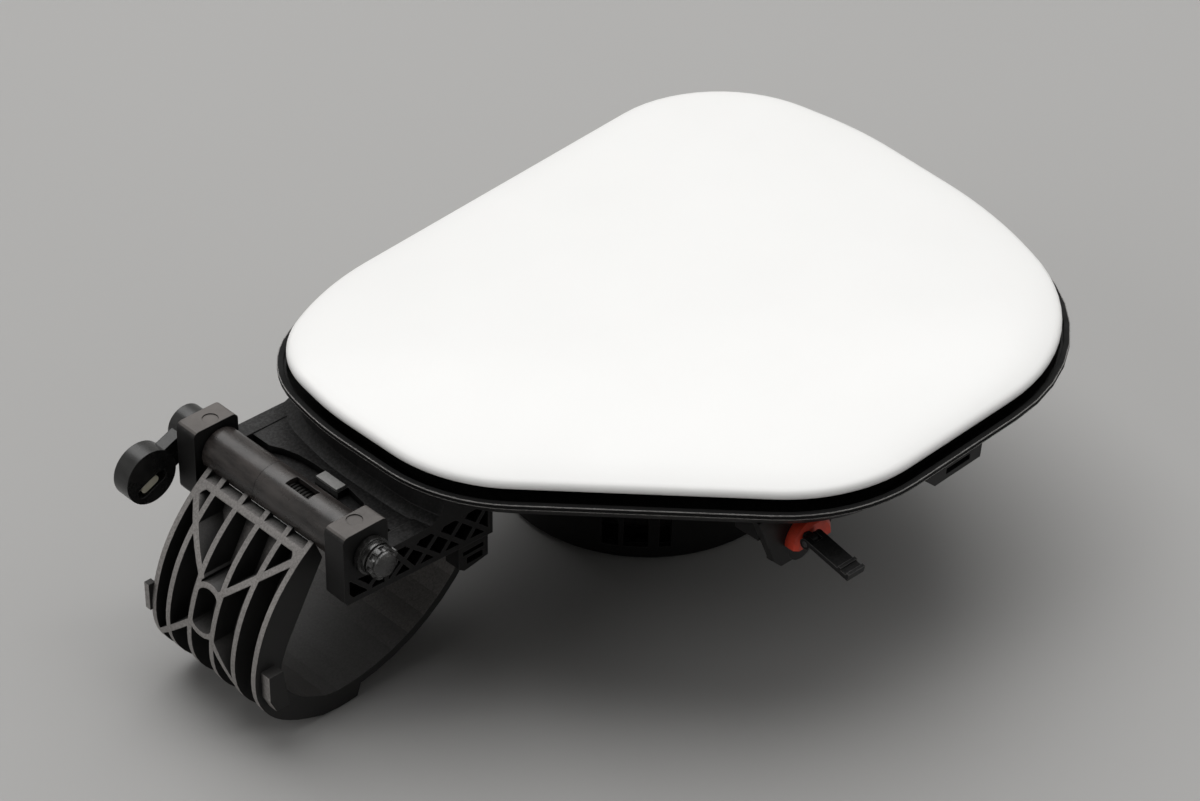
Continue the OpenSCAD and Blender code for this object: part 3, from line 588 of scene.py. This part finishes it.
# The painted skin, in millimetres: its edge as steps out from the outline and up from its foot,
# and its crown as shares of the outline's size and of the crown's height.
SKIN_Z = 80.6
SKIN_EDGE = ((-2.5, 1.0), (-2.5, 0.0), (-1.0, 0.0), (-0.35, 0.1), (0.0, 0.4), (-0.05, 0.95),
             (-0.25, 1.55), (-0.65, 2.05), (-1.25, 2.45), (-2.2, 2.8), (-3.8, 3.2))
SKIN_SHOULDER = 3.05
CROWN_H = 4.1
CROWN = ((0.94, 0.16), (0.88, 0.35), (0.8, 0.54), (0.72, 0.69), (0.62, 0.81), (0.5, 0.9),
         (0.37, 0.96), (0.25, 0.99), (0.12, 1.0))


def scaled_outline(k):
    """The outline at a share of its size, about the door's middle."""
    return [DOOR_MIDDLE + (p - DOOR_MIDDLE) * k for p in door_outline()]


def door_skin():
    """The painted lid: a rolled edge under a soft crown."""
    shoulder_z = SKIN_Z + SKIN_SHOULDER
    rings = [(door_outline(out), SKIN_Z + up) for out, up in SKIN_EDGE]
    rings += [(scaled_outline(k), shoulder_z + CROWN_H * rise) for k, rise in CROWN]
    skin = loft("door_skin_panel", rings)
    smooth(skin)
    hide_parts("door_skin")
    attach(skin, "door")
    return skin


# The spring, in millimetres.
SPRING_COIL_R = 4.57
SPRING_WIRE_R = 0.62
SPRING_FIRST_Y = -28.8
SPRING_TURNS = 20
SPRING_PITCH = 1.372
SPRING_STEPS = 28
WIRE_SIDES = 10


def torsion_spring():
    """A close-wound spring: one round section swept along a screw."""
    start = Vector((HINGE_X, SPRING_FIRST_Y, HINGE_Z)) * MM
    clear_selection()
    bpy.ops.mesh.primitive_circle_add(
        vertices=WIRE_SIDES, radius=SPRING_WIRE_R * MM, fill_type="NOTHING",
        location=start + Vector((SPRING_COIL_R * MM, 0, 0)))
    spring = named("torsion_spring_coil")
    bpy.context.scene.cursor.location = start
    bpy.ops.object.origin_set(type="ORIGIN_CURSOR")
    screw = spring.modifiers.new("turns", "SCREW")
    screw.axis = "Y"
    screw.angle = 2 * math.pi
    screw.screw_offset = SPRING_PITCH * MM
    screw.iterations = SPRING_TURNS
    screw.steps = SPRING_STEPS
    screw.render_steps = SPRING_STEPS
    screw.use_merge_vertices = True
    apply_all(spring)
    settle(spring)
    close_ends(spring)
    outward(spring)
    smooth(spring)
    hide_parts("torsion_spring")
    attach(spring, "door")
    return spring


# A dark sheet under the slot in the hinge plate's front edge, put there as painted shade over what
# would show through, in millimetres.
SLOT_SHADE_LOW = (-132.0, -20.0, 60.15)
SLOT_SHADE_HIGH = (-124.5, 21.5, 60.52)
SLOT_SHADE_BEVEL = 0.15
SLOT_SHADE_BEVEL_STEPS = 2


def slot_shade_sheet():
    """A thin dark sheet that closes the plate's slot from below, put there as painted shade."""
    low, high = Vector(SLOT_SHADE_LOW), Vector(SLOT_SHADE_HIGH)
    clear_selection()
    bpy.ops.mesh.primitive_cube_add(size=1.0, location=tuple((low + high) / 2 * MM))
    sheet = named("slot_shade_sheet")
    sheet.scale = (high - low) * MM
    settle(sheet)
    corners = sheet.modifiers.new("corners", "BEVEL")
    corners.width = SLOT_SHADE_BEVEL * MM
    corners.segments = SLOT_SHADE_BEVEL_STEPS
    apply_all(sheet)
    outward(sheet)
    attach(sheet, "base")
    return sheet


# The stage, in metres and watts.
FLOOR_SIZE = 12.0
FLOOR_Z = -0.0002
FLOOR_TONES = ((0.405, 0.40, 0.392), (0.435, 0.43, 0.422))
SKY_TONE = (1.0, 0.995, 0.985)
SKY_STRENGTH = 0.10
BACKDROP_TONE = (0.44, 0.435, 0.42)
LAMPS = (
    ("overhead", (0.25, 0.45, 1.6), (0, 0, 0.05), 2.0, 31.5),
    ("left", (-1.4, 0.3, 0.9), (-0.08, 0, 0.04), 0.8, 3.5),
    ("right", (1.0, -0.8, 1.4), (0.05, -0.05, 0.04), 1.7, 5.5),
)


def lay_floor():
    """A plain pale floor."""
    clear_selection()
    bpy.ops.mesh.primitive_plane_add(size=FLOOR_SIZE, location=(0, 0, FLOOR_Z))
    floor = named("floor")
    finish = Finish("floor_paint", roughness=0.75, specular=0.2)
    finish.colour(finish.noise(400.0, detail=2.0), *FLOOR_TONES)
    floor.data.materials.append(finish.material)


def either_ray(tree, path, rays):
    """1 for any of the named kinds of ray."""
    shown = path.outputs[rays[0]]
    for ray in rays[1:]:
        either = tree.nodes.new("ShaderNodeMath")
        either.operation = "MAXIMUM"
        tree.links.new(shown, either.inputs[0])
        tree.links.new(path.outputs[ray], either.inputs[1])
        shown = either.outputs["Value"]
    return shown


def light_world():
    """An even pale sky, with its own tone where it is seen or mirrored."""
    world = bpy.data.worlds.new("world")
    bpy.context.scene.world = world
    world.use_nodes = True
    tree = world.node_tree
    sky = tree.nodes["Background"]
    sky.inputs["Color"].default_value = (*SKY_TONE, 1.0)
    sky.inputs["Strength"].default_value = SKY_STRENGTH
    seen = tree.nodes.new("ShaderNodeBackground")
    seen.inputs["Color"].default_value = (*BACKDROP_TONE, 1.0)
    path = tree.nodes.new("ShaderNodeLightPath")
    rays = ("Is Camera Ray", "Is Glossy Ray", "Is Transmission Ray")
    mix = tree.nodes.new("ShaderNodeMixShader")
    tree.links.new(either_ray(tree, path, rays), mix.inputs["Fac"])
    tree.links.new(sky.outputs["Background"], mix.inputs[1])
    tree.links.new(seen.outputs["Background"], mix.inputs[2])
    tree.links.new(mix.outputs["Shader"], tree.nodes["World Output"].inputs["Surface"])


def add_lamp(name, at, towards, size, power):
    """A soft square lamp that shines towards a point."""
    data = bpy.data.lights.new(name, "AREA")
    data.size = size
    data.energy = power
    lamp = bpy.data.objects.new(name, data)
    lamp.location = at
    lamp.rotation_euler = (Vector(towards) - Vector(at)).to_track_quat("-Z", "Y").to_euler()
    bpy.context.scene.collection.objects.link(lamp)


def light_scene():
    """Soft studio light: a broad lamp overhead and two weaker ones at the sides."""
    bpy.context.scene.view_settings.view_transform = "Standard"
    light_world()
    for lamp in LAMPS:
        add_lamp(*lamp)


place_camera()
lay_floor()
light_scene()
by_slot = finishes()
paint_nodes(by_slot)
door_skin().data.materials.append(by_slot["skin_white"])
torsion_spring().data.materials.append(by_slot["spring_steel"])
# The dark sheet under the plate's slot is painted shade.
slot_shade_sheet().data.materials.append(by_slot["moulded_black"])
